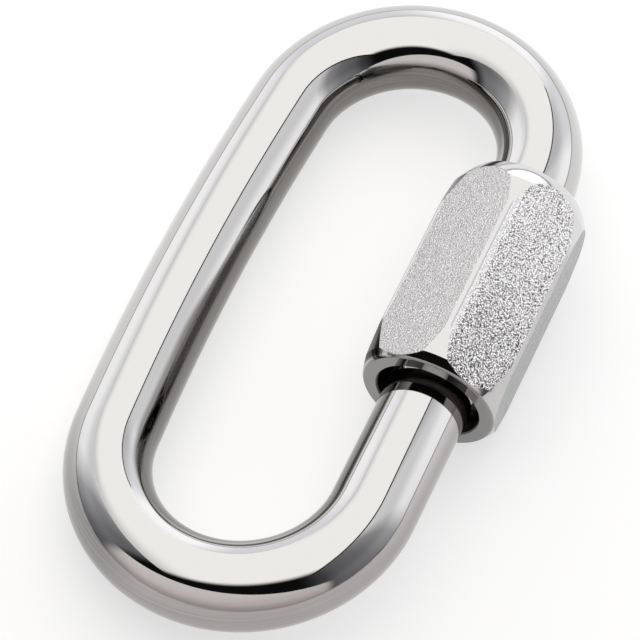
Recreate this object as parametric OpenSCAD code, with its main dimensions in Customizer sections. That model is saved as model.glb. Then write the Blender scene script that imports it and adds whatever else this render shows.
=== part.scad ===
// Oval quick link for joining chain. A bent bar with a gate in one leg, and a long hexagonal
// sleeve nut that screws across the gate. It lies as it comes to rest on a table: on the middle
// of the plain leg and on one edge of the sleeve, with its length along Y.

/* [Bar] */
// Diameter of the round bar
bar_d = 10; // [8:0.5:11]
// Length of the eye, from the inside of one bend to the inside of the other
inside_len = 66.6; // [60:0.2:80]
// Radius inside each bend, where the joined chain sits
eye_r = 10.4; // [9:0.2:14]
// Angle by which the plain leg leans outwards where it leaves each bend
bow_angle = 4.4; // [1:0.2:8]

/* [Gate] */
// Clear opening when the sleeve is run right back
gate_open = 11; // [8:0.5:13]
// Pitch of the thread
thread_pitch = 1.5; // [1:0.25:2]
// Turns of the sleeve from closed to fully open
open_turns = 12; // [11:1:13]
// Height of the thread's mean line above the bar
thread_rise = 0.25; // [0.1:0.05:0.4]
// Radial play between the thread and the sleeve's bore
thread_play = 0.1; // [0.05:0.05:0.3]
// Bevel on the tip of each threaded end
tip_bevel = 1; // [0.5:0.1:2]
// Length over which each thread runs out into the bar
thread_runout = 1; // [0.5:0.1:1.5]
// Depth at which the threads start inside the closed sleeve
thread_cover = 1.4; // [0.8:0.1:2]
// Depth of the lower threaded end below the top of the open sleeve
tip_recess = 0.25; // [0:0.05:0.5]

/* [Sleeve nut] */
// Width across the flats, for a 16 mm spanner
flats_w = 16; // [15.5:0.5:19]
// Depth to which the six long edges are turned down
edge_cut = 0.1; // [0.05:0.05:0.4]
// Space left between the closed sleeve and the start of the upper bend
top_gap = 1.4; // [0.8:0.1:3]
// Distance that the open sleeve reaches onto the lower bend
bend_reach = 2.8; // [0:0.2:3.6]
// Radial play of the wide mouth round the bar
mouth_play = 1.15; // [0.8:0.05:1.3]
// Depth of the wide mouth
mouth_depth = 4.8; // [3:0.2:8]
// Half angle of the long tapers that cut the six edges back towards both ends
taper_angle = 8.5; // [6:0.5:12]
// Depth of each long taper, from the edges to its small end
taper_drop = 0.6; // [0.4:0.05:0.8]
// Radius of the slight swell along each long taper
taper_round = 120; // [100:10:300]
// Half angle of the steep bevel round the lower end
bevel_angle = 34; // [30:1:45]
// Depth of the rim below the flats, where that bevel ends
flat_relief = 0.05; // [0.05:0.05:0.4]
// Size of the fine bevel round the lower end face
rim_bevel = 0.2; // [0.1:0.05:0.4]
// Half angle of the crown bevel round the upper end
crown_angle = 27; // [25:1:40]
// Depth of the upper end face's edge below the flats
crown_w = 0.85; // [0.5:0.05:1.1]
// Radius of the slight swell along both end bevels
bevel_round = 60; // [50:5:120]
// Bevel at the upper mouth of the bore
bore_bevel = 0.5; // [0.3:0.1:0.8]
// Lean of the top edge away from the plain leg, as the link lies
nut_turn = -2; // [-6:0.5:6]

/* [Hidden] */
$fn = 96;
bar_r = bar_d / 2;
bend_r = eye_r + bar_r;
leg_len = inside_len - 2 * eye_r;
bend_start = leg_len / 2;
// The plain leg is one shallow arc, tangent to both bends
bow_r = (bend_start + bend_r * sin(bow_angle)) / sin(bow_angle);
bow_x = (bow_r - bend_r) * cos(bow_angle);
plain_x = bow_x - bow_r;
bow_fn = 1440;
// Places along the gate leg
travel = open_turns * thread_pitch;
nut_top = bend_start - top_gap;
nut_len = leg_len + bend_reach - top_gap - travel;
nut_bottom = nut_top - nut_len;
upper_tip = nut_top - travel + gate_open;
lower_tip = nut_top - travel - tip_recess;
thread_r = bar_r + thread_rise;
bore_r = thread_r + thread_play;
mouth_r = bar_r + mouth_play;
// Hexagon and the narrow round land along each of its edges
flat_half = flats_w / 2;
corner_r = flat_half / cos(30);
edge_r = corner_r - edge_cut;
land_angle = 30 - acos(flat_half / edge_r);
taper_r = edge_r - taper_drop;
rim_r = flat_half - flat_relief;
crown_r = flat_half - crown_w;
overcut = 1;
// Angle between a direction, given from upright, and the nearest edge of the sleeve
function off_edge(angle) = abs((angle - nut_turn + 390) % 60 - 30);
// How far the sleeve reaches from its axis in that direction
function hex_reach(angle) = edge_r * cos(max(0, off_edge(angle) - land_angle));
// The link's rest: the sleeve's edge and the plain leg touch the table
gate_z = hex_reach(180);
lie_tilt = asin((gate_z - bar_r) / (bend_r - plain_x));
centre_z = bar_r - plain_x * sin(lie_tilt);
centre_x = -((bend_r + plain_x) * cos(lie_tilt) + hex_reach(90) - bar_r) / 2;
gate_x = centre_x + bend_r * cos(lie_tilt);

// A move along X in two steps, whole micrometres first, so that a long move keeps all its digits
module along_x(distance) {
    coarse = round(1000 * distance) / 1000;
    translate([coarse, 0, 0])
        translate([distance - coarse, 0, 0])
            children();
}

// An arc of the bar about the origin, from one angle to another
module bar_arc(radius, from, to) {
    rotate_extrude(start = from, angle = to - from)
        along_x(radius)
            circle(r = bar_r, $fn = 96);
}

// One end of the gate leg: bar, run-out, thread and bevelled tip, from its bend to its tip
module threaded_end(length, thread_len) {
    thread_at = length - thread_len;
    rotate_extrude()
        polygon([
            [0, 0],
            [bar_r, 0],
            [bar_r, thread_at - thread_runout],
            [thread_r, thread_at],
            [thread_r, length - tip_bevel],
            [thread_r - tip_bevel, length],
            [0, length]
        ]);
}

// The bent bar in its own plane, with the gate leg on the +X side
module bent_bar() {
    for (side = [0, 1])
        mirror([0, side, 0])
            translate([0, bend_start, 0])
                bar_arc(bend_r, 0, 180 - bow_angle);
    along_x(bow_x)
        bar_arc(bow_r, 180 - bow_angle, 180 + bow_angle, $fn = bow_fn);
    upper_len = bend_start - upper_tip;
    translate([bend_r, bend_start, 0])
        rotate([90, 0, 0])
            threaded_end(upper_len, upper_len - top_gap - thread_cover);
    lower_len = lower_tip + bend_start;
    translate([bend_r, -bend_start, 0])
        rotate([-90, 0, 0])
            threaded_end(lower_len, lower_tip - nut_bottom - thread_cover);
}

module link_body() {
    color("gainsboro")
        translate([centre_x, 0, centre_z])
            rotate([0, -lie_tilt, 0])
                bent_bar();
}

// Centre of an arc that swells outwards between two points of the outline, the lower one first
function arc_centre(from, to, radius) =
    let (chord = to - from, inward = sqrt(radius ^ 2 - (norm(chord) / 2) ^ 2))
    (from + to) / 2 + inward * [-chord[1], chord[0]] / norm(chord);

// Turned outline of the sleeve, lower end at zero
module turned_blank() {
    taper_h = taper_drop / tan(taper_angle);
    rim = [rim_r, rim_bevel];
    lower_small = [taper_r, rim_bevel + (taper_r - rim_r) / tan(bevel_angle)];
    lower_large = [edge_r, lower_small[1] + taper_h];
    crown = [crown_r, nut_len];
    upper_small = [taper_r, nut_len - (taper_r - crown_r) / tan(crown_angle)];
    upper_large = [edge_r, upper_small[1] - taper_h];
    rotate_extrude()
        intersection() {
            polygon([
                [0, 0],
                [rim_r - rim_bevel, 0],
                [edge_r, edge_r - rim_r + rim_bevel],
                [edge_r, nut_len],
                [0, nut_len]
            ]);
            translate(arc_centre(rim, lower_small, bevel_round))
                circle(r = bevel_round, $fn = 720);
            translate(arc_centre(lower_small, lower_large, taper_round))
                circle(r = taper_round, $fn = 720);
            translate(arc_centre(upper_large, upper_small, taper_round))
                circle(r = taper_round, $fn = 720);
            translate(arc_centre(upper_small, crown, bevel_round))
                circle(r = bevel_round, $fn = 720);
        }
}

// Threaded bore and wide lower mouth, with the cone between them
module sleeve_bore() {
    step_h = mouth_r - bore_r;
    translate([0, 0, -overcut])
        cylinder(r = bore_r, h = nut_len + 2 * overcut);
    translate([0, 0, -overcut])
        cylinder(r = mouth_r, h = mouth_depth + overcut);
    translate([0, 0, mouth_depth])
        cylinder(r1 = mouth_r, r2 = bore_r, h = step_h);
    translate([0, 0, nut_len - bore_bevel])
        cylinder(r1 = bore_r, r2 = bore_r + bore_bevel + overcut, h = bore_bevel + overcut);
}

module sleeve_nut() {
    color("silver")
        translate([gate_x, nut_bottom, gate_z])
            rotate([-90, 0, 0])
                difference() {
                    intersection() {
                        rotate([0, 0, 90 + nut_turn])
                            cylinder(r = corner_r, h = nut_len, $fn = 6);
                        turned_blank();
                    }
                    sleeve_bore();
                }
}

link_body();
sleeve_nut();
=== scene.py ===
from math import atan2, copysign, cos, hypot, pi, radians, sin, tan

import bmesh
import bpy
from mathutils import Matrix, Vector


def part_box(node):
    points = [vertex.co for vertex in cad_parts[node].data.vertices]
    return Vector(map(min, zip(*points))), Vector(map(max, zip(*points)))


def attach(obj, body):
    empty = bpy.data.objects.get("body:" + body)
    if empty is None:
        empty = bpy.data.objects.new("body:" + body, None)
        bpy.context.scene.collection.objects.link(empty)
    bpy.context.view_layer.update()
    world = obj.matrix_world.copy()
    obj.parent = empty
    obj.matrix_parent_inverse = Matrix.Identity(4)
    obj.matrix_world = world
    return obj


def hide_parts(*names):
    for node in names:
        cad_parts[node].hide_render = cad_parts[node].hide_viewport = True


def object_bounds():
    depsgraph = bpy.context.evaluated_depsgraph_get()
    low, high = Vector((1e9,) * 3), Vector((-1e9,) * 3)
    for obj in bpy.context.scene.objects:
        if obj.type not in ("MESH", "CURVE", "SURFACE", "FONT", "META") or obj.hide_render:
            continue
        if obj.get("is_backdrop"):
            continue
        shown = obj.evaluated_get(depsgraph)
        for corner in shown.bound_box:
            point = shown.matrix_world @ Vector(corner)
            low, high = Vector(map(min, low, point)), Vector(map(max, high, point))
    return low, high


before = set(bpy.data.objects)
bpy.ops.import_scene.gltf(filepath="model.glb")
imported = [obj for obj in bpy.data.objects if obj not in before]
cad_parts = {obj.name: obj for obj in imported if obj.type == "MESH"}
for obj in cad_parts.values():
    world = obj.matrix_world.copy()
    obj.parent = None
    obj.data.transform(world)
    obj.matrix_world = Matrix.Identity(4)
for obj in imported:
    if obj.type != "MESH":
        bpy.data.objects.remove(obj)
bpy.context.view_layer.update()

# Bent bar: one length of 10 mm round stainless bar, bent cold into an oval and polished to a
# mirror. The gate in its right leg leaves two ends with a rolled thread, a little proud of the bar.
MM = 0.001
BAR_R = 5 * MM
BEND_R = 15.4 * MM
BOW = radians(4.4)
RING_SIDES = 96
BEND_STEPS = 110
BOW_STEPS = 48
BAR_SHARP = radians(18)

# Where the bar lies, from the boxes of the two solids
bar_low, bar_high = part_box("link_body")
nut_low, nut_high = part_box("sleeve_nut")
gate_axis = (nut_low + nut_high) / 2
plain_axis = bar_low + Vector((BAR_R, 0, BAR_R))
lie_tilt = atan2(gate_axis.z - plain_axis.z, gate_axis.x - plain_axis.x)
bend_y = bar_high.y - BEND_R - BAR_R
bow_r = bend_y / sin(BOW) + BEND_R
bow_x = (bow_r - BEND_R) * cos(BOW)
link_centre = Vector((
    gate_axis.x - BEND_R * cos(lie_tilt), 0, gate_axis.z - BEND_R * sin(lie_tilt),
))
place = Matrix.Translation(link_centre) @ Matrix.Rotation(-lie_tilt, 4, "Y")
nut_top = nut_high.y
nut_bottom = nut_low.y

# Thread on both ends, one helix that runs through the sleeve. Its foot is sunk into the bar.
PITCH = 1.5 * MM
CREST_R = 5.5 * MM
ROOT_R = 4.8 * MM
TIP_R = 4.25 * MM
RUN_OUT = 1 * MM
RUN_OUT_SLOPE = 0.5
THREAD_COVER = 1.4 * MM
UPPER_TIP = 14.5 * MM
LOWER_TIP = 3.25 * MM
TURN_STEPS = 60
CREST_HALF = 0.1 * MM
ROOT_HALF = 0.62 * MM
FOOT_SUNK = 0.98
DEEPEST_SUNK = 0.97
SHORT_BY_TURNS = 0.5
upper_start = nut_top - THREAD_COVER
lower_start = nut_bottom + THREAD_COVER
tip_bevel = ROOT_R - TIP_R


def grow(bm, ring, steps):
    """Extrudes a ring along Y through (y, radius) steps about the gate leg's axis, and closes it."""
    for y, radius in steps:
        edges = [g for g in ring if isinstance(g, bmesh.types.BMEdge)]
        ring = bmesh.ops.extrude_edge_only(bm, edges=edges)["geom"]
        for v in ring:
            if isinstance(v, bmesh.types.BMVert):
                from_axis = Vector((v.co.x - BEND_R, 0, v.co.z)).normalized()
                v.co = Vector((BEND_R, y, 0)) + from_axis * radius
    edges = [g for g in ring if isinstance(g, bmesh.types.BMEdge)]
    bmesh.ops.edgeloop_fill(bm, edges=edges)


def helix(bm, start, turns, base_r, base_half, top_r, axis_x):
    """Winds one closed ridge round an axis along Y, from base radius to top radius, and adds it."""
    section = [
        (base_r, -base_half), (top_r, -CREST_HALF), (top_r, CREST_HALF), (base_r, base_half),
    ]
    ridge = bmesh.new()
    corners = [ridge.verts.new((axis_x + r, start + y, 0)) for r, y in section]
    edges = [ridge.edges.new((corners[k - 1], corners[k])) for k in range(len(corners))]
    ridge.faces.new(corners)
    steps = round(turns * TURN_STEPS)
    wound = bmesh.ops.spin(
        ridge, geom=edges + corners, cent=(axis_x, 0, 0), axis=(0, 1, 0),
        dvec=(0, PITCH / TURN_STEPS, 0), angle=2 * pi * steps / TURN_STEPS, steps=steps,
    )["geom_last"]
    last = [g for g in wound if isinstance(g, bmesh.types.BMEdge)]
    bmesh.ops.contextual_create(ridge, geom=last)
    bmesh.ops.recalc_face_normals(ridge, faces=ridge.faces)
    ridge_mesh = bpy.data.meshes.new("ridge")
    ridge.to_mesh(ridge_mesh)
    ridge.free()
    count = len(bm.verts)
    bm.from_mesh(ridge_mesh)
    bpy.data.meshes.remove(ridge_mesh)
    bm.verts.ensure_lookup_table()
    return bm.verts[count:]


def turn_down(verts, axis_x, limit):
    """Turns a ridge down about its axis to a limit that depends on the place along it."""
    for v in verts:
        r = hypot(v.co.x - axis_x, v.co.z)
        most = max(limit(v.co.y), ROOT_R * DEEPEST_SUNK)
        if r > most:
            v.co.x = axis_x + (v.co.x - axis_x) * most / r
            v.co.z *= most / r


def finish_mesh(bm, name, materials, body, node, sharp):
    """Makes the object at the origin, shades it smooth up to its sharp edges and gives it its body."""
    for face in bm.faces:
        face.smooth = True
    for edge in bm.edges:
        edge.smooth = edge.calc_face_angle(0) < sharp
    mesh = bpy.data.meshes.new(name)
    bm.to_mesh(mesh)
    bm.free()
    for material in materials:
        mesh.materials.append(material)
    piece = bpy.data.objects.new(name, mesh)
    bpy.context.scene.collection.objects.link(piece)
    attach(piece, body)
    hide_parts(node)
    return piece


bm = bmesh.new()
straight_layer = bm.verts.layers.float_vector.new("straight_bar")
bmesh.ops.create_circle(bm, segments=RING_SIDES, radius=BAR_R)
bmesh.ops.transform(
    bm, verts=bm.verts,
    matrix=Matrix.Translation((BEND_R, -bend_y, 0)) @ Matrix.Rotation(pi / 2, 4, "X"),
)
first_ring = list(bm.edges) + list(bm.verts)
ring = first_ring
for centre, angle, steps in (
    ((0, -bend_y, 0), BOW - pi, BEND_STEPS),
    ((bow_x, 0, 0), -2 * BOW, BOW_STEPS),
    ((0, bend_y, 0), BOW - pi, BEND_STEPS),
):
    ring = bmesh.ops.spin(
        bm, geom=ring, cent=centre, axis=(0, 0, 1), angle=angle, steps=steps
    )["geom_last"]
grow(bm, ring, (
    (upper_start + RUN_OUT, BAR_R), (upper_start, ROOT_R),
    (UPPER_TIP + tip_bevel, ROOT_R), (UPPER_TIP, TIP_R),
))
grow(bm, first_ring, (
    (lower_start - RUN_OUT, BAR_R), (lower_start, ROOT_R),
    (LOWER_TIP - tip_bevel, ROOT_R), (LOWER_TIP, TIP_R),
))
for tip, start, way in ((UPPER_TIP, upper_start, 1), (LOWER_TIP, lower_start, -1)):
    low, high = sorted((tip, start + way * RUN_OUT))
    from_turn = round(low / PITCH)
    turns = (high - low) / PITCH - SHORT_BY_TURNS
    ridge = helix(
        bm, from_turn * PITCH, turns, ROOT_R * FOOT_SUNK, ROOT_HALF, CREST_R, BEND_R
    )
    turn_down(ridge, BEND_R, lambda y: min(
        TIP_R + way * (y - tip),
        BAR_R * FOOT_SUNK + (way * (start - y) + RUN_OUT) * RUN_OUT_SLOPE,
    ))
bmesh.ops.recalc_face_normals(bm, faces=bm.faces)

# Each point's place on the bar as if it were straight, for marks that run along it: outwards from
# its middle line, up, and along
for v in bm.verts:
    past_leg = abs(v.co.y) - bend_y
    outwards = v.co.x - BEND_R if v.co.x > 0 else hypot(v.co.x - bow_x, v.co.y) - bow_r
    along = abs(v.co.y)
    if past_leg > 0:
        outwards = hypot(v.co.x, past_leg) - BEND_R
        along = bend_y + BEND_R * atan2(past_leg, abs(v.co.x))
    v[straight_layer] = (outwards, v.co.z, copysign(along, v.co.y))
bmesh.ops.transform(bm, verts=bm.verts, matrix=place)


class Wire:
    """One socket of a shader tree. Sums and products of wires add the Math nodes they need."""

    def __init__(self, tree, socket=None):
        self.tree = tree
        self.socket = socket

    def node(self, kind, settings, inputs, output=0):
        """Adds any node: its settings first, then the values or wires of its sockets."""
        made = self.tree.nodes.new("ShaderNode" + kind)
        for name, value in settings.items():
            if name == "stops":
                ramp = made.color_ramp
                while len(ramp.elements) < len(value):
                    ramp.elements.new(0.5)
                for element, (at, colour) in zip(ramp.elements, value):
                    element.position = at
                    element.color = (*colour, 1)
            else:
                setattr(made, name, value)
        for name, value in inputs.items():
            if isinstance(value, Wire):
                self.tree.links.new(value.socket, made.inputs[name])
            else:
                made.inputs[name].default_value = value
        return Wire(self.tree, made.outputs[output])

    def math(self, operation, *values):
        return self.node("Math", {"operation": operation}, dict(enumerate(values)))

    def __add__(self, other):
        return self.math("ADD", self, other)

    __radd__ = __add__

    def __sub__(self, other):
        return self.math("SUBTRACT", self, other)

    def __rsub__(self, other):
        return self.math("SUBTRACT", other, self)

    def __mul__(self, other):
        return self.math("MULTIPLY", self, other)

    __rmul__ = __mul__

    def __truediv__(self, other):
        return self.math("DIVIDE", self, other)

    def __rtruediv__(self, other):
        return self.math("DIVIDE", other, self)

    def rise(self, low, high):
        """Smooth step from 0 at low to 1 at high."""
        return self.node(
            "MapRange", {"interpolation_type": "SMOOTHSTEP"}, {0: self, 1: low, 2: high}
        )

    def blend(self, low, high):
        """Mix of two colours, by this wire."""
        return self.node("Mix", {"data_type": "RGBA"}, {0: self, 6: low, 7: high}, output=2)

    def split(self, axes):
        """The named axes of this vector."""
        return [self.node("SeparateXYZ", {}, {"Vector": self}, output=axis) for axis in axes]

    def stretch(self, scale):
        """This vector, scaled along each axis."""
        return self.node("Mapping", {}, {"Vector": self, "Scale": scale})

    def noise(self, scale, detail, roughness):
        """Noise at this vector."""
        return self.node("TexNoise", {}, {
            "Vector": self, "Scale": scale, "Detail": detail, "Roughness": roughness,
        })

    def to(self, socket):
        self.tree.links.new(self.socket, socket)


def new_finish(name, constants):
    """A material with a Principled shader, its constants set on the shader's own sockets."""
    material = bpy.data.materials.new(name)
    material.use_nodes = True
    shader = material.node_tree.nodes["Principled BSDF"]
    for socket, value in constants.items():
        shader.inputs[socket].default_value = value
    return material, Wire(material.node_tree), shader


# Mirror polish, with painted light in its tone: painted shade on the inner wall, also satin,
# painted shade on the outer wall of the lower bend, also scuffed and darker on its left, painted
# shade on the lower outer rim of the gate leg, and a painted highlight on the upper outer wall
STEEL = (0.56, 0.553, 0.548, 1)
HIGHLIGHT_STEEL = (0.68, 0.683, 0.69, 1)
WALL_SHADE_STEEL = (0.335, 0.31, 0.306, 1)
LEFT_WALL_SHADE_STEEL = (0.225, 0.218, 0.217, 1)
INNER_SHADE_STEEL = (0.155, 0.146, 0.139, 1)

# Marks in the polish: scale, detail and roughness of each, and the range in which it shows
SMEARS, SMEARS_SHOW = (120, 3, 0.5), (0.45, 0.75)
HAZE, HAZE_SHOWS = (2600, 4, 0.6), (0.5, 0.8)
SCUFFS, SCUFFS_SHOW = (1, 4, 0.65), (0.45, 0.75)
SCUFF_GRAIN = (7000, 7000, 70)
SCUFF_MEAN = 0.5
SCUFF_DEPTH = 0.004 * MM
POLISH = 0.035
SMEAR_ROUGH = 0.03
HAZE_ROUGH = 0.02
SATIN_ROUGH = 0.03
SCUFF_ROUGH = 0.1

# Distances over which the tone changes: outwards from the bar's middle line, along it, and across
INNER_WALL = (0.8 * BAR_R, 0.92 * BAR_R)
OUTER_WALL = (0.62 * BAR_R, 0.95 * BAR_R)
RIM = (0.8 * BAR_R, BAR_R)
LOW_INNER_SHIFT = 0.2 * BAR_R
LEFT_OUTER_SHIFT = 0.16 * BAR_R
UPPER_HALF = (-12 * MM, 8 * MM)
HIGHLIGHT_END = (-18 * MM, 4 * MM)
WORN_SHADE_END = (bend_y - 8 * MM, bend_y + 15 * MM)
LEFT_SIDE = (4 * MM, 12 * MM)
RIGHT_SIDE = (12 * MM, 20 * MM)
RIM_SHADE_SHARE = 0.8
WORN_SHADE_SHARE, WORN_SHADE_STREAKS = 0.8, 0.9
INNER_SHADE_SHARE, INNER_SHADE_STREAKS = 0.9, 0.5

mirror_steel, wire, shader = new_finish("mirror_polished_steel", {"Metallic": 1})
spot = wire.node("TexCoord", {}, {}, output="Object")
straight = wire.node("Attribute", {"attribute_name": "straight_bar"}, {}, output="Vector")
across = spot.split("X")[0]
outwards, along = straight.split("XZ")
low_half = 1 - along.rise(*UPPER_HALF)
left_side = (0 - across).rise(*LEFT_SIDE)
right_side = across.rise(*RIGHT_SIDE)
# Satin, and painted shade: darker steel on the inner wall of the eye, broken by scuff streaks
inner = (LOW_INNER_SHIFT * low_half - outwards).rise(*INNER_WALL)
# Scuffed, and painted shade: darker steel on the outer wall of the lower bend, more on its left
worn_and_shaded = (outwards + LEFT_OUTER_SHIFT * left_side).rise(*OUTER_WALL) * (0 - along).rise(*WORN_SHADE_END)
# Painted highlight: lighter steel on the outer wall of the upper half, away from the gate leg
bright = outwards.rise(*OUTER_WALL) * along.rise(*HIGHLIGHT_END) * (1 - right_side)
# Painted shade: darker steel on the outer rim of the gate leg's lower half
rim = low_half * right_side * outwards.rise(*RIM)
smears = spot.noise(*SMEARS).rise(*SMEARS_SHOW)
haze = spot.noise(*HAZE).rise(*HAZE_SHOWS)
scuffs = straight.stretch(SCUFF_GRAIN).noise(*SCUFFS)
satin = (worn_and_shaded + inner) * (SATIN_ROUGH + SCUFF_ROUGH * scuffs.rise(*SCUFFS_SHOW))
(POLISH + SMEAR_ROUGH * smears + HAZE_ROUGH * haze + satin).to(shader.inputs["Roughness"])
streaks = scuffs - SCUFF_MEAN
tone = bright.blend(STEEL, HIGHLIGHT_STEEL)
tone = (RIM_SHADE_SHARE * rim).blend(tone, WALL_SHADE_STEEL)
wall = left_side.blend(WALL_SHADE_STEEL, LEFT_WALL_SHADE_STEEL)
tone = (worn_and_shaded * (WORN_SHADE_SHARE + WORN_SHADE_STREAKS * streaks)).blend(tone, wall)
tone = (inner * (INNER_SHADE_SHARE + INNER_SHADE_STREAKS * streaks)).blend(tone, INNER_SHADE_STEEL)
tone.to(shader.inputs["Base Color"])
wire.node("Bump", {}, {
    "Height": scuffs * worn_and_shaded, "Strength": 1, "Distance": SCUFF_DEPTH,
}).to(shader.inputs["Normal"])
finish_mesh(bm, "bent_bar", [mirror_steel], "link", "link_body", BAR_SHARP)

# Sleeve nut: turned from 16 mm hexagonal stainless bar, drilled and tapped right through with a
# wide mouth at its lower end. Its ends and edges are turned and polished, its flats grit-blasted.
# It screws across the gate, from one threaded end of the bar to the other.
FLAT_HALF = 8 * MM
EDGE_CUT = 0.1 * MM
TAPER_ANGLE = radians(8.5)
TAPER_DROP = 0.6 * MM
BEVEL_ANGLE = radians(34)
FLAT_RELIEF = 0.05 * MM
RIM_BEVEL = 0.2 * MM
CROWN_ANGLE = radians(27)
CROWN_W = 0.85 * MM
CROWN_ROUND = 14 * MM
CROWN_STEPS = 6
MOUTH_R = 6.15 * MM
MOUTH_DEPTH = 4.8 * MM
MOUTH_EASE = 0.15 * MM
BORE_R = 5.65 * MM
BORE_TOP_R = 5.85 * MM
BORE_SUNK = 1.01
MINOR_R = 5.07 * MM
MOUTH_TURNS = 2
TOP_TURNS = 0.6
NUT_TURN = radians(-2)
NUT_SHARP = radians(8)
FACE_STEPS = 56
EDGE_EASE = 0.05 * MM
EASE_SEGMENTS = 2
SAME_POINT = 0.002 * MM

nut_len = nut_top - nut_bottom
edge_r = FLAT_HALF / cos(pi / 6) - EDGE_CUT
taper_r = edge_r - TAPER_DROP
rim_r = FLAT_HALF - FLAT_RELIEF
crown_r = FLAT_HALF - CROWN_W
lower_small = RIM_BEVEL + (taper_r - rim_r) / tan(BEVEL_ANGLE)
upper_small = nut_len - (taper_r - crown_r) / tan(CROWN_ANGLE)


def hex_radius(angle):
    """Reach of the hexagon with its turned edges, at an angle from upright."""
    off_edge = (angle - NUT_TURN + pi / 6) % (pi / 3) - pi / 6
    return min(FLAT_HALF / cos(pi / 6 - abs(off_edge)), edge_r)


def turned_height(end, r):
    """Height of the turned outline at a radius, near one end: a steep bevel, then a long taper."""
    up_taper = max(r - taper_r, 0) / tan(TAPER_ANGLE)
    below = min(r - taper_r, 0)
    if end == "lower":
        return lower_small + below / tan(BEVEL_ANGLE) + up_taper
    swell = -below * (r - crown_r) / (2 * CROWN_ROUND * sin(CROWN_ANGLE) ** 3)
    return upper_small - below / tan(CROWN_ANGLE) + swell - up_taper


# Rows of the outline: fixed ones by radius and height, the others by end and largest radius
rim_foot = (rim_r - RIM_BEVEL, 0)
rim_top = (rim_r, RIM_BEVEL)
crown_top = (crown_r, nut_len)
outline = [
    (MOUTH_R, MOUTH_DEPTH), (MOUTH_R, MOUTH_EASE), (MOUTH_R + MOUTH_EASE, 0), rim_foot, rim_top,
    ("lower", taper_r), ("lower", edge_r), ("upper", edge_r),
    *(("upper", taper_r + (crown_r - taper_r) * k / CROWN_STEPS) for k in range(CROWN_STEPS)),
    crown_top, (BORE_TOP_R, nut_len), (BORE_R, nut_len - (BORE_TOP_R - BORE_R)),
    (BORE_R, MOUTH_DEPTH + MOUTH_R - BORE_R),
]
bm = bmesh.new()
row_layer = bm.verts.layers.int.new("row")
loop = []
for k, (r, y) in enumerate(outline):
    if r in ("upper", "lower"):
        r, y = edge_r, nut_len / 2
    v = bm.verts.new((r * sin(NUT_TURN), y, r * cos(NUT_TURN)))
    v[row_layer] = k
    loop.append(v)
edges = [bm.edges.new((loop[k - 1], loop[k])) for k in range(len(loop))]
bmesh.ops.spin(
    bm, geom=edges + loop, axis=(0, 1, 0), angle=2 * pi, steps=6 * FACE_STEPS, use_merge=True
)
for v in bm.verts:
    end, most = outline[v[row_layer]]
    if end in ("upper", "lower"):
        angle = atan2(v.co.x, v.co.z)
        r = min(hex_radius(angle), most)
        v.co = (r * sin(angle), turned_height(end, r), r * cos(angle))
bmesh.ops.remove_doubles(bm, verts=bm.verts, dist=SAME_POINT)
bmesh.ops.recalc_face_normals(bm, faces=bm.faces)
turned_rows = [outline.index(row) for row in (rim_foot, rim_top, crown_top)]
eased = [
    e for e in bm.edges
    if e.verts[0][row_layer] == e.verts[1][row_layer] and e.verts[0][row_layer] in turned_rows
]
bmesh.ops.bevel(
    bm, geom=eased, offset=EDGE_EASE, offset_type="OFFSET", segments=EASE_SEGMENTS, profile=0.5,
    affect="EDGES", material=-1,
)
bmesh.ops.recalc_face_normals(bm, faces=bm.faces)
thread_from = round((nut_bottom + MOUTH_DEPTH + MOUTH_TURNS * PITCH) / PITCH) + 0.5
thread_turns = (nut_top - TOP_TURNS * PITCH) / PITCH - thread_from
helix(
    bm, thread_from * PITCH - nut_bottom, thread_turns, BORE_R * BORE_SUNK, ROOT_HALF, MINOR_R, 0
)

# Which finish each face has: blasted flats, a bore with painted shade, and turned steel on all the
# rest
TURNED, BLASTED, BORED = range(3)
FACES_INWARDS = -0.1
LEVEL = 0.01
FLAT_WITHIN = radians(0.3)
for face in bm.faces:
    middle = face.calc_center_median()
    outward = Vector((middle.x, 0, middle.z)).normalized().dot(face.normal)
    from_flat = (atan2(face.normal.x, face.normal.z) - NUT_TURN) % (pi / 3) - pi / 6
    level = abs(face.normal.y) < LEVEL and abs(from_flat) < FLAT_WITHIN
    if outward < FACES_INWARDS:
        face.material_index = BORED
    else:
        face.material_index = BLASTED if outward > 0 and level else TURNED
bmesh.ops.translate(bm, verts=bm.verts, vec=(gate_axis.x, nut_bottom, gate_axis.z))

# Turned and polished ends, with fine lines round the axis and painted light in their tone: painted
# shade on the lower end face, a painted highlight on the crown and upper right edge, and painted
# shade at both ends towards the eye of the link
LINES, LINE_GRAIN = (1, 3, 0.6), (150, 5000, 150)
LINES_ROUGHEN, LINES_DULL = (0.4, 0.8), (0.3, 0.8)
LINE_STEEL = (0.53, 0.525, 0.52, 1)
FACE_SHADE_STEEL = (0.27, 0.266, 0.264, 1)
SHADE_STEEL = (0.02, 0.02, 0.02, 1)
SHADE_SHARE = 0.9
TURNED_POLISH, LINE_ROUGH = 0.04, 0.05
END_FACE = (0.1 * MM, 0.3 * MM)
ABOVE_FACE = (0.2 * MM, 0.6 * MM)
CROWN_UP = (26.3 * MM, 26.9 * MM)
UPPER_END = (21 * MM, 23 * MM)
RIGHT_EDGE = (4.5 * MM, 6.5 * MM)
EYE_SIDE = (5.4 * MM, 6.8 * MM)
SHADE_MIDDLE = 13.8 * MM
SHADE_ENDS = (8.2 * MM, 9.4 * MM)
turned_steel, wire, shader = new_finish("turned_and_polished_steel", {"Metallic": 1})
spot = wire.node("TexCoord", {}, {}, output="Object")
across, along = spot.split("XY")
height = along - nut_bottom
lines = spot.stretch(LINE_GRAIN).noise(*LINES)
(TURNED_POLISH + LINE_ROUGH * lines.rise(*LINES_ROUGHEN)).to(shader.inputs["Roughness"])
tone = lines.rise(*LINES_DULL).blend(STEEL, LINE_STEEL)
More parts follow.
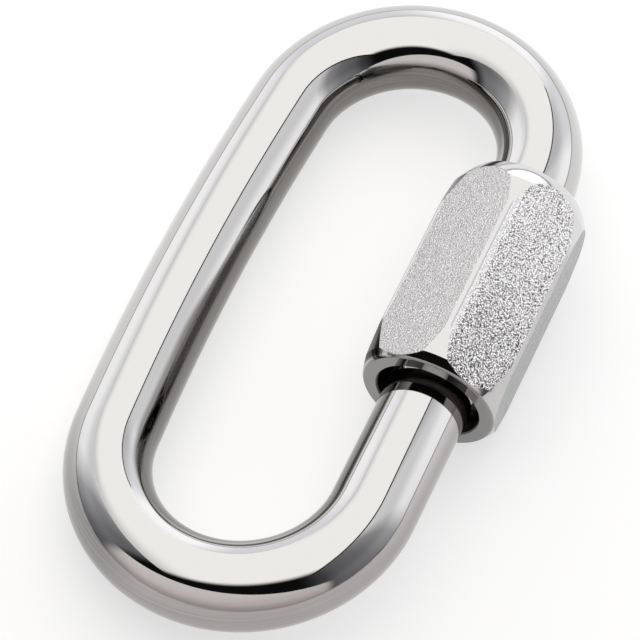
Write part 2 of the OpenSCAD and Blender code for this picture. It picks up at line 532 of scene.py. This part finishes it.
# Painted shade: darker steel on the lower end face
tone = (1 - height.rise(*END_FACE)).blend(tone, FACE_SHADE_STEEL)
# Painted highlight: brighter steel on the crown and the upper right edge
right_edge_highlight = (across - gate_axis.x).rise(*RIGHT_EDGE) * height.rise(*UPPER_END)
tone = wire.math("MAXIMUM", height.rise(*CROWN_UP), right_edge_highlight).blend(tone, HIGHLIGHT_STEEL)
# Painted shade: both ends of the nut darken towards the eye of the link
eye_side = (gate_axis.x - across).rise(*EYE_SIDE)
both_ends = wire.math("ABSOLUTE", height - SHADE_MIDDLE).rise(*SHADE_ENDS)
shade = SHADE_SHARE * eye_side * (both_ends * height.rise(*ABOVE_FACE))
shade.blend(tone, SHADE_STEEL).to(shader.inputs["Base Color"])

# Blasted flats: a fine bright grain on the upper left one; coarse specks with painted shade in
# their pits on the upper right one, more towards its lower end, but for a rubbed strip along the
# top edge; and painted shade on the flats at both sides, most on the one towards the eye
GRAIN, GRAIN_SHOWS = (7000, 2, 0.5), (0.3, 0.75)
PATCHES = (260, 3, 0.5)
SPECKS, SPECK_GRAIN, SPECKS_SHOW = (1, 1, 0.6), (6800, 5600, 6800), (0.37, 0.51)
SPECKS_LOWER = 0.05
FINE_DULL, FINE_BRIGHT = (0.6, 0.588, 0.594, 1), (1, 0.983, 0.99, 1)
SPECK_SHADE, SPECK_BRIGHT = (0.03, 0.03, 0.032, 1), (1, 0.985, 0.995, 1)
SIDE_SHADE_STEEL = (0.36, 0.365, 0.375, 1)
EYE_SHADE_STEEL = (0.32, 0.315, 0.315, 1)
BLAST_ROUGH, PATCH_ROUGH = 0.15, 0.08
BLAST_DEPTH = 0.24 * MM
GRAIN_RELIEF, SPECK_RELIEF = 0.8, 0.2
RUBBED_TONE, RUBBED_RELIEF = 0.9, 0.85
TOP_EDGE = (-0.02, 0.02)
RUBBED_STRIP = (radians(3), radians(8))
RIGHT_CORNER = (radians(59.5), radians(60.5))
EYE_CORNER = (radians(-80), radians(-66))
blasted_steel, wire, shader = new_finish("grit_blasted_steel", {"Metallic": 1})
spot = wire.node("TexCoord", {}, {}, output="Object")
x, y, z = spot.split("XYZ")
turn = wire.math("ARCTAN2", x - gate_axis.x, z - gate_axis.z) - NUT_TURN
side_flat = turn.rise(*RIGHT_CORNER)
right_flat = turn.rise(*TOP_EDGE) * (1 - side_flat)
eye_flat = 1 - turn.rise(*EYE_CORNER)
rubbed = right_flat * (1 - turn.rise(*RUBBED_STRIP))
coarse = right_flat * (1 - RUBBED_TONE * rubbed)
grain = spot.noise(*GRAIN)
patches = spot.noise(*PATCHES)
specks = spot.stretch(SPECK_GRAIN).noise(*SPECKS)
lower = (nut_top - y).rise(0.2 * nut_len, nut_len)
fine_tone = grain.rise(*GRAIN_SHOWS).blend(FINE_DULL, FINE_BRIGHT)
# Painted shade on the flats at both sides, darker on the one towards the eye
fine_tone = side_flat.blend(fine_tone, SIDE_SHADE_STEEL)
fine_tone = eye_flat.blend(fine_tone, EYE_SHADE_STEEL)
# Coarse grain with painted shade in its pits, more of it towards the lower end of the nut
speck_shade_tone = (specks - SPECKS_LOWER * lower).rise(*SPECKS_SHOW).blend(SPECK_SHADE, SPECK_BRIGHT)
coarse.blend(fine_tone, speck_shade_tone).to(shader.inputs["Base Color"])
(BLAST_ROUGH + PATCH_ROUGH * patches).to(shader.inputs["Roughness"])
relief = (GRAIN_RELIEF * grain + SPECK_RELIEF * specks) * (1 - RUBBED_RELIEF * rubbed)
wire.node("Bump", {}, {
    "Height": relief, "Strength": 1, "Distance": BLAST_DEPTH,
}).to(shader.inputs["Normal"])

# Bore: drilled and tapped, a little rough, and dark with painted shade
BORE_SHADE_STEEL = (0.1, 0.09, 0.085, 1)
BORED_ROUGH = 0.32
shaded_bore_steel = new_finish("shaded_drilled_and_tapped_steel", {
    "Metallic": 1, "Roughness": BORED_ROUGH, "Base Color": BORE_SHADE_STEEL,
})[0]
finish_mesh(
    bm, "hex_sleeve_nut", [turned_steel, blasted_steel, shaded_bore_steel],
    "sleeve", "sleeve_nut", NUT_SHARP,
)

# Table: a plain pale floor that runs out of sight, under the whole link. It is matt, takes the
# soft shadow under the bar, and is white to the camera and in the steel alike.
FLOOR_HALF = 4
FLOOR_ALBEDO = (0.55, 0.545, 0.542, 1)
WHITEN = 0.565


def stage_paint(name):
    """A material without its Principled shader, and the socket for its own."""
    material = bpy.data.materials.new(name)
    material.use_nodes = True
    tree = material.node_tree
    tree.nodes.remove(tree.nodes["Principled BSDF"])
    return material, Wire(tree), tree.nodes["Material Output"].inputs["Surface"]


def stage_piece(bm, name, material):
    """Makes a piece of the studio, which isn't part of the object."""
    mesh = bpy.data.meshes.new(name)
    bm.to_mesh(mesh)
    bm.free()
    mesh.materials.append(material)
    piece = bpy.data.objects.new(name, mesh)
    bpy.context.scene.collection.objects.link(piece)
    piece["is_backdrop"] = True
    return piece


floor_paint, wire, surface = stage_paint("floor_paint")
seen = wire.node("LightPath", {}, {}, output="Is Camera Ray")
for ray in ("Is Glossy Ray", "Is Transmission Ray"):
    seen = wire.math("MAXIMUM", seen, wire.node("LightPath", {}, {}, output=ray))
matt = wire.node("BsdfDiffuse", {}, {"Color": FLOOR_ALBEDO})
glow = wire.node("Emission", {}, {"Strength": seen * WHITEN})
wire.node("AddShader", {}, {0: matt, 1: glow}).to(surface)
bm = bmesh.new()
bmesh.ops.create_grid(bm, x_segments=1, y_segments=1, size=FLOOR_HALF)
stage_piece(bm, "floor", floor_paint)

# Softbox: one large soft lamp over the link, a little turned and tipped, in a black case that
# shows as a rim on its right. Its cloth dims towards the left and the front. It is the broad white
# band along the top of the bar.
SOFTBOX_SIZE = (0.448, 0.682)
LEFT_FADE = 0.3
LEFT_LEVEL = 0.65
FRONT_FADE = 0.13
CLOTH_TINT = (1, 0.99, 0.973)
SOFTBOX_AT = Vector((-0.0937, 0.0784, 0.3152))
SOFTBOX_TURN = Matrix.Rotation(radians(17), 4, "Z") @ Matrix.Rotation(radians(-2.6), 4, "Y")
SOFTBOX_TIP = Matrix.Rotation(radians(-9.6), 4, "X")
SOFTBOX_LEVEL = 1.48
CASE_RIM = 0.02
CASE_BEHIND = 0.002
CASE_BLACK = (0.01, 0.01, 0.01, 1)
UNIT_HALF = 0.5
softbox_place = Matrix.Translation(SOFTBOX_AT) @ SOFTBOX_TURN @ SOFTBOX_TIP
lamp = bpy.data.lights.new("softbox", "AREA")
lamp.shape = "RECTANGLE"
lamp.size, lamp.size_y = SOFTBOX_SIZE
lamp.energy = SOFTBOX_LEVEL * pi * SOFTBOX_SIZE[0] * SOFTBOX_SIZE[1]
lamp.color = CLOTH_TINT
lamp.use_nodes = True
wire = Wire(lamp.node_tree)
u, v = wire.node("NewGeometry", {}, {}, output="Parametric").split("XY")
level = (LEFT_LEVEL + (1 - LEFT_LEVEL) * u.rise(0, LEFT_FADE)) * v.rise(0, FRONT_FADE)
level.to(lamp.node_tree.nodes["Emission"].inputs["Strength"])
softbox = bpy.data.objects.new("softbox", lamp)
softbox.matrix_world = softbox_place
softbox.visible_camera = False
bpy.context.scene.collection.objects.link(softbox)
bm = bmesh.new()
bmesh.ops.create_grid(bm, x_segments=1, y_segments=1, size=UNIT_HALF)
bmesh.ops.scale(bm, verts=bm.verts, vec=(SOFTBOX_SIZE[0] + CASE_RIM, SOFTBOX_SIZE[1], 1))
bmesh.ops.translate(bm, verts=bm.verts, vec=(CASE_RIM / 2, 0, CASE_BEHIND))
bmesh.ops.transform(bm, verts=bm.verts, matrix=softbox_place)
case_black = new_finish("case_black", {"Base Color": CASE_BLACK, "Roughness": 1})[0]
case = stage_piece(bm, "softbox_case", case_black)
case.visible_camera = False

# Front card: a warm grey card that stands before the link, between it and the dark front of the
# studio, and fades out at both ends. It is the pinkish grey low on both bends, and it shows in
# reflections alone.
CARD_LEFT = -0.32
CARD_RIGHT = 0.43
CARD_TOP = 0.177
CARD_Y = -0.215
CARD_FADE = 0.1
PAPER_RISE = (0, 0.08)
PAPER_LOW = (0.63, 0.585, 0.585, 1)
PAPER_HIGH = (0.92, 0.86, 0.86, 1)
card_middle = ((CARD_LEFT + CARD_RIGHT) / 2, CARD_Y, CARD_TOP / 2)
bm = bmesh.new()
bmesh.ops.create_grid(bm, x_segments=1, y_segments=1, size=UNIT_HALF)
bmesh.ops.scale(bm, verts=bm.verts, vec=(CARD_RIGHT - CARD_LEFT, CARD_TOP, 1))
bmesh.ops.rotate(bm, verts=bm.verts, matrix=Matrix.Rotation(pi / 2, 3, "X"))
bmesh.ops.translate(bm, verts=bm.verts, vec=card_middle)
card_paper, wire, surface = stage_paint("card_paper")
x, z = wire.node("TexCoord", {}, {}, output="Object").split("XZ")
paper = z.rise(*PAPER_RISE).blend(PAPER_LOW, PAPER_HIGH)
left_end = x.rise(CARD_LEFT, CARD_LEFT + CARD_FADE)
right_end = 1 - x.rise(CARD_RIGHT - CARD_FADE, CARD_RIGHT)
glow = wire.node("Emission", {}, {"Color": paper})
clear = wire.node("BsdfTransparent", {}, {})
wire.node("MixShader", {}, {0: left_end * right_end, 1: clear, 2: glow}).to(surface)
card = stage_piece(bm, "front_card", card_paper)
card.visible_camera = False
card.visible_shadow = False
card.visible_diffuse = False

# Studio round it: pale walls that darken towards the front and a little towards the ceiling, with
# a bright strip at the back, a dark foot along the floor, and a black front above the card.
WALL_STOPS = [
    (0.0, (0.03, 0.03, 0.032)),
    (0.2, (0.1, 0.1, 0.107)),
    (0.26, (0.22, 0.222, 0.235)),
    (0.41, (0.325, 0.328, 0.343)),
    (0.55, (0.57, 0.575, 0.596)),
    (0.67, (1.38, 1.38, 1.4)),
    (0.825, (1.5, 1.5, 1.52)),
    (0.9, (1.12, 1.13, 1.18)),
    (1.0, (1.15, 1.16, 1.21)),
]
WALL_SKEW = 0.15
STRIP_LIGHT = (1.65, 1.65, 1.67, 1)
STRIP_SKEW = 0.176
STRIP_EDGE = (0.15, 0.4)
CEILING, CEILING_SHADE = (0.3, 0.65), 0.3
FOOT, FOOT_SHADE = (0, 0.05), 0.85
BLACK = (0, 0, 0, 1)
FRONT_BLACK = (0.006, 0.006, 0.006, 1)
FRONT_LEFT = (-1.85, -1.1)
FRONT_RIGHT = (1, 1.8)
HALFWAY = (0, 0.1)
NOT_ZERO = 1e-6
LEAST_FORWARD = 1e-4
scene = bpy.context.scene
scene.world = bpy.data.worlds.new("studio")
scene.world.use_nodes = True
tree = scene.world.node_tree
wire = Wire(tree)
x, y, z = wire.node("TexCoord", {}, {}, output="Generated").split("XYZ")
flat = wire.math("SQRT", x * x + y * y + NOT_ZERO)
depth = ((y - WALL_SKEW * x) / flat + 1) * 0.5
walls = wire.node("ValToRGB", {"stops": WALL_STOPS}, {"Fac": depth})
strip = (1 - wire.math("ABSOLUTE", x / y + STRIP_SKEW).rise(*STRIP_EDGE)) * y.rise(*HALFWAY)
walls = strip.blend(walls, STRIP_LIGHT)
walls = (CEILING_SHADE * z.rise(*CEILING)).blend(walls, BLACK)
walls = (FOOT_SHADE * (1 - z.rise(*FOOT))).blend(walls, BLACK)
sideways = x / wire.math("MAXIMUM", 0 - y, LEAST_FORWARD)
between = sideways.rise(*FRONT_LEFT) * (1 - sideways.rise(*FRONT_RIGHT))
dark_front = between * (0 - y).rise(*HALFWAY)
dark_front.blend(walls, FRONT_BLACK).to(tree.nodes["Background"].inputs["Color"])

# Camera: above the near end of the link and to its right, looking down along the sleeve, with a
# long lens. Its turn, lift and roll are about the link as it lies.
VIEW_TURN = radians(28.4)
VIEW_LIFT = radians(56.38)
VIEW_ROLL = radians(-5.67)
VIEW_DISTANCE = 0.4377
FOCAL_PIXELS = 3847.84
IMAGE_PIXELS = 640
CENTRE_PIXEL = (328.78, 304.87)
SENSOR_WIDTH = 36
back = Vector((
    sin(VIEW_TURN) * cos(VIEW_LIFT), -cos(VIEW_TURN) * cos(VIEW_LIFT), sin(VIEW_LIFT),
))
level_axis = Vector((cos(VIEW_TURN), sin(VIEW_TURN), 0))
right = level_axis * cos(VIEW_ROLL) + back.cross(level_axis) * sin(VIEW_ROLL)
off_right = IMAGE_PIXELS / 2 - CENTRE_PIXEL[0]
off_down = IMAGE_PIXELS / 2 - CENTRE_PIXEL[1]
aim = (right * off_right - back.cross(right) * off_down) * (VIEW_DISTANCE / FOCAL_PIXELS)
back_axis = (back * VIEW_DISTANCE - aim).normalized()
up_axis = back_axis.cross(right).normalized()
right_axis = up_axis.cross(back_axis)
turned = Matrix((right_axis, up_axis, back_axis)).transposed().to_4x4()
lens = bpy.data.cameras.new("camera")
lens.sensor_width = SENSOR_WIDTH
lens.lens = FOCAL_PIXELS * SENSOR_WIDTH / IMAGE_PIXELS
camera = bpy.data.objects.new("camera", lens)
camera.matrix_world = place @ Matrix.Translation(back * VIEW_DISTANCE) @ turned
scene.collection.objects.link(camera)
scene.camera = camera
scene.view_settings.view_transform = "Standard"

low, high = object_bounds()
